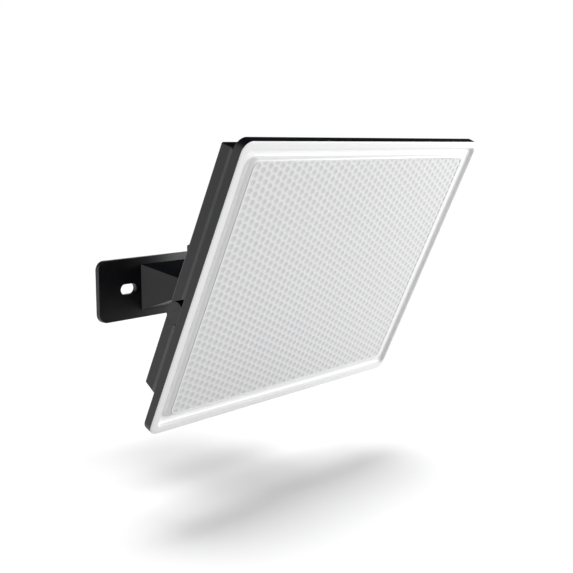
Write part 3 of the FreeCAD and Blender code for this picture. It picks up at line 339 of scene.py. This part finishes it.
def add_cells(bm, painted_shade):
    """Net of six-sided cells in staggered columns, over more than the field."""
    rise = CELL_HEIGHT / 2
    waist = (CELL_WIDTH ** 2 + rise ** 2) / (2 * CELL_WIDTH)
    shoulder = waist - rise ** 2 / CELL_WIDTH
    outline = [(waist, 0), (shoulder, rise), (-shoulder, rise),
               (-waist, 0), (-shoulder, -rise), (shoulder, -rise)]
    columns = math.ceil(HEAD_WIDTH / CELL_WIDTH)
    rows = math.ceil((HEAD_ABOVE + HEAD_BELOW) / CELL_HEIGHT)
    left = -HEAD_WIDTH / 2 + FIRST_CELL_ACROSS
    top = HEAD_ABOVE - FIRST_CELL_DOWN
    for column in range(columns):
        for row in range(rows + 1):
            x = left + column * CELL_WIDTH
            z = top - row * CELL_HEIGHT + (column % 2) * rise
            if abs(x) > HEAD_WIDTH / 2 - FIELD_EDGE[0] + CELL_WIDTH:
                continue
            # Each ring carries its painted shade, darkest at the hollow middle of the cell
            rings = [[(x + dx, NET_DEPTH, z + dz, NET_PAINTED_SHADE) for dx, dz in outline]]
            for share, depth, grey in CELL_RINGS:
                rings.append([(x + dx * share, depth, z + dz * share, grey)
                              for dx, dz in outline])
            loops = []
            for ring in rings:
                loop = []
                for px, depth, pz, grey in ring:
                    vert = bm.verts.new((px, depth, pz))
                    vert[painted_shade] = grey
                    loop.append(vert)
                loops.append(loop)
            centre = bm.verts.new((x, CELL_FLOOR[0], z))
            centre[painted_shade] = CELL_FLOOR[1]
            for outer, inner in zip(loops, loops[1:]):
                for i in range(CELL_SIDES):
                    k = (i + 1) % CELL_SIDES
                    bm.faces.new((outer[i], outer[k], inner[k], inner[i]))
            for i in range(CELL_SIDES):
                bm.faces.new((loops[-1][i], loops[-1][(i + 1) % CELL_SIDES], centre))


def cut_to_field(bm):
    """Cut the net to the field's rounded rectangle, a little under the frame round it."""
    side, end, radius = FIELD_EDGE
    points = corner_arcs(side - FIELD_OVERLAP, end - FIELD_OVERLAP, radius, FIELD_SHIFT)
    for i, (x, z) in enumerate(points):
        next_x, next_z = points[(i + 1) % len(points)]
        outward = Vector((next_z - z, 0, x - next_x))
        if outward.length < SHORTEST_SIDE:
            continue
        geometry = bm.verts[:] + bm.edges[:] + bm.faces[:]
        bmesh.ops.bisect_plane(bm, geom=geometry, dist=CUT_DISTANCE, plane_co=(x, 0, z),
                               plane_no=outward, clear_outer=True)


def close_field(bm, painted_shade):
    """Give the net side walls and a flat back."""
    rim = [edge for edge in bm.edges if edge.is_boundary]
    made = bmesh.ops.extrude_edge_only(bm, edges=rim)["geom"]
    for vert in made:
        if isinstance(vert, bmesh.types.BMVert):
            vert.co.y = NET_BACK
            vert[painted_shade] = 0.0
    rim = [edge for edge in bm.edges if edge.is_boundary]
    bmesh.ops.holes_fill(bm, edges=rim, sides=0)


def make_front_cover():
    bm = bmesh.new()
    painted_shade = bm.verts.layers.float.new("painted_shade")
    add_cells(bm, painted_shade)
    bmesh.ops.remove_doubles(bm, verts=bm.verts, dist=WELD_DISTANCE)
    cut_to_field(bm)
    close_field(bm, painted_shade)
    bmesh.ops.transform(bm, matrix=HEAD_TO_ROW @ Matrix.Scale(MM, 4), verts=bm.verts)
    add_cover_frame(bm, painted_shade)
    piece = mesh_piece("front_cover_with_cells", bm, smooth_angle=SMOOTH_ANGLE)
    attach(piece, "head")
    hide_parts("front_cover")
    return piece


# Floor, world and lamps

FLOOR_HEIGHT = -0.124
FLOOR_REACH = 6.0
# How pale the floor is for the light that it throws back at the object
FLOOR_BOUNCE = 0.42


def make_floor():
    bm = bmesh.new()
    bmesh.ops.create_grid(bm, x_segments=1, y_segments=1, size=FLOOR_REACH)
    floor = mesh_piece("floor", bm)
    floor.location = (0, 0, FLOOR_HEIGHT)
    n = Nodes("pale_floor")
    n.set(Roughness=1.0)
    n.shader.inputs["Specular IOR Level"].default_value = 0.0
    path = n.add("ShaderNodeLightPath")
    seen = n.add("ShaderNodeMath", operation="MAXIMUM")
    n.link(path.outputs["Is Camera Ray"], seen.inputs[0])
    n.link(path.outputs["Is Glossy Ray"], seen.inputs[1])
    n.link(n.blend(seen.outputs[0], (FLOOR_BOUNCE,) * 3, (1.0,) * 3),
           n.shader.inputs["Base Color"])
    floor.data.materials.append(n.material)


# A dark card overhead, which only reflections show
CARD_HEIGHT = 1.2
CARD_CENTRE = (1.6, 0.3)
CARD_HALF = 2.8


def make_dark_card():
    bm = bmesh.new()
    bmesh.ops.create_grid(bm, x_segments=1, y_segments=1, size=CARD_HALF)
    card = mesh_piece("dark_card", bm)
    card.location = (*CARD_CENTRE, CARD_HEIGHT)
    card.visible_camera = False
    card.visible_diffuse = False
    card.visible_transmission = False
    card.visible_shadow = False
    n = Nodes("dark_card")
    n.set(Base_Color=(0.01, 0.01, 0.01, 1), Roughness=1.0)
    n.shader.inputs["Specular IOR Level"].default_value = 0.0
    card.data.materials.append(n.material)


# The sky's strength for the light that falls on the object
SKY_LEVEL = 0.22


def make_world():
    """An even sky. The camera, reflections and clear things see it as white."""
    world = bpy.data.worlds.new("studio")
    world.use_nodes = True
    tree = world.node_tree
    background = tree.nodes["Background"]
    path = tree.nodes.new("ShaderNodeLightPath")
    seen = path.outputs["Is Camera Ray"]
    for other in ("Is Glossy Ray", "Is Transmission Ray"):
        add = tree.nodes.new("ShaderNodeMath")
        add.operation = "MAXIMUM"
        tree.links.new(seen, add.inputs[0])
        tree.links.new(path.outputs[other], add.inputs[1])
        seen = add.outputs[0]
    level = tree.nodes.new("ShaderNodeMapRange")
    level.inputs["To Min"].default_value = SKY_LEVEL
    level.inputs["To Max"].default_value = 1.0
    tree.links.new(seen, level.inputs["Value"])
    tree.links.new(level.outputs["Result"], background.inputs["Strength"])
    background.inputs["Color"].default_value = (1, 1, 1, 1)
    bpy.context.scene.world = world


# A soft lamp overhead, left out of reflections
OVERHEAD_STRENGTH = 2.5
OVERHEAD_SPREAD = 46
OVERHEAD_TOWARDS = Vector((0.0, 0.08, -1.0))
# A wide low lamp in front and to the right
SOFTBOX_PLACE = Vector((1.15, -1.10, 0.11))
SOFTBOX_AIM = Vector((0.0, -0.13, 0.0))
SOFTBOX_SIZE = (1.3, 0.45)
SOFTBOX_POWER = 21


def make_lamp(name, kind, energy, towards):
    data = bpy.data.lights.new(name, kind)
    data.energy = energy
    lamp = bpy.data.objects.new(name, data)
    lamp.rotation_mode = "QUATERNION"
    lamp.rotation_quaternion = towards.to_track_quat("-Z", "Y")
    bpy.context.scene.collection.objects.link(lamp)
    return lamp


def make_lamps():
    overhead = make_lamp("overhead", "SUN", OVERHEAD_STRENGTH, OVERHEAD_TOWARDS)
    overhead.data.angle = math.radians(OVERHEAD_SPREAD)
    overhead.visible_glossy = False
    softbox = make_lamp("softbox", "AREA", SOFTBOX_POWER, SOFTBOX_AIM - SOFTBOX_PLACE)
    softbox.data.shape = "RECTANGLE"
    softbox.data.size, softbox.data.size_y = SOFTBOX_SIZE
    softbox.location = SOFTBOX_PLACE
    softbox.visible_camera = False


make_camera()
materials = make_materials()
dress_nodes(materials)
cover = make_front_cover()
cover.data.materials.append(materials["white_plastic"])
make_floor()
make_dark_card()
make_world()
make_lamps()

bpy.context.scene.view_settings.view_transform = "Standard"
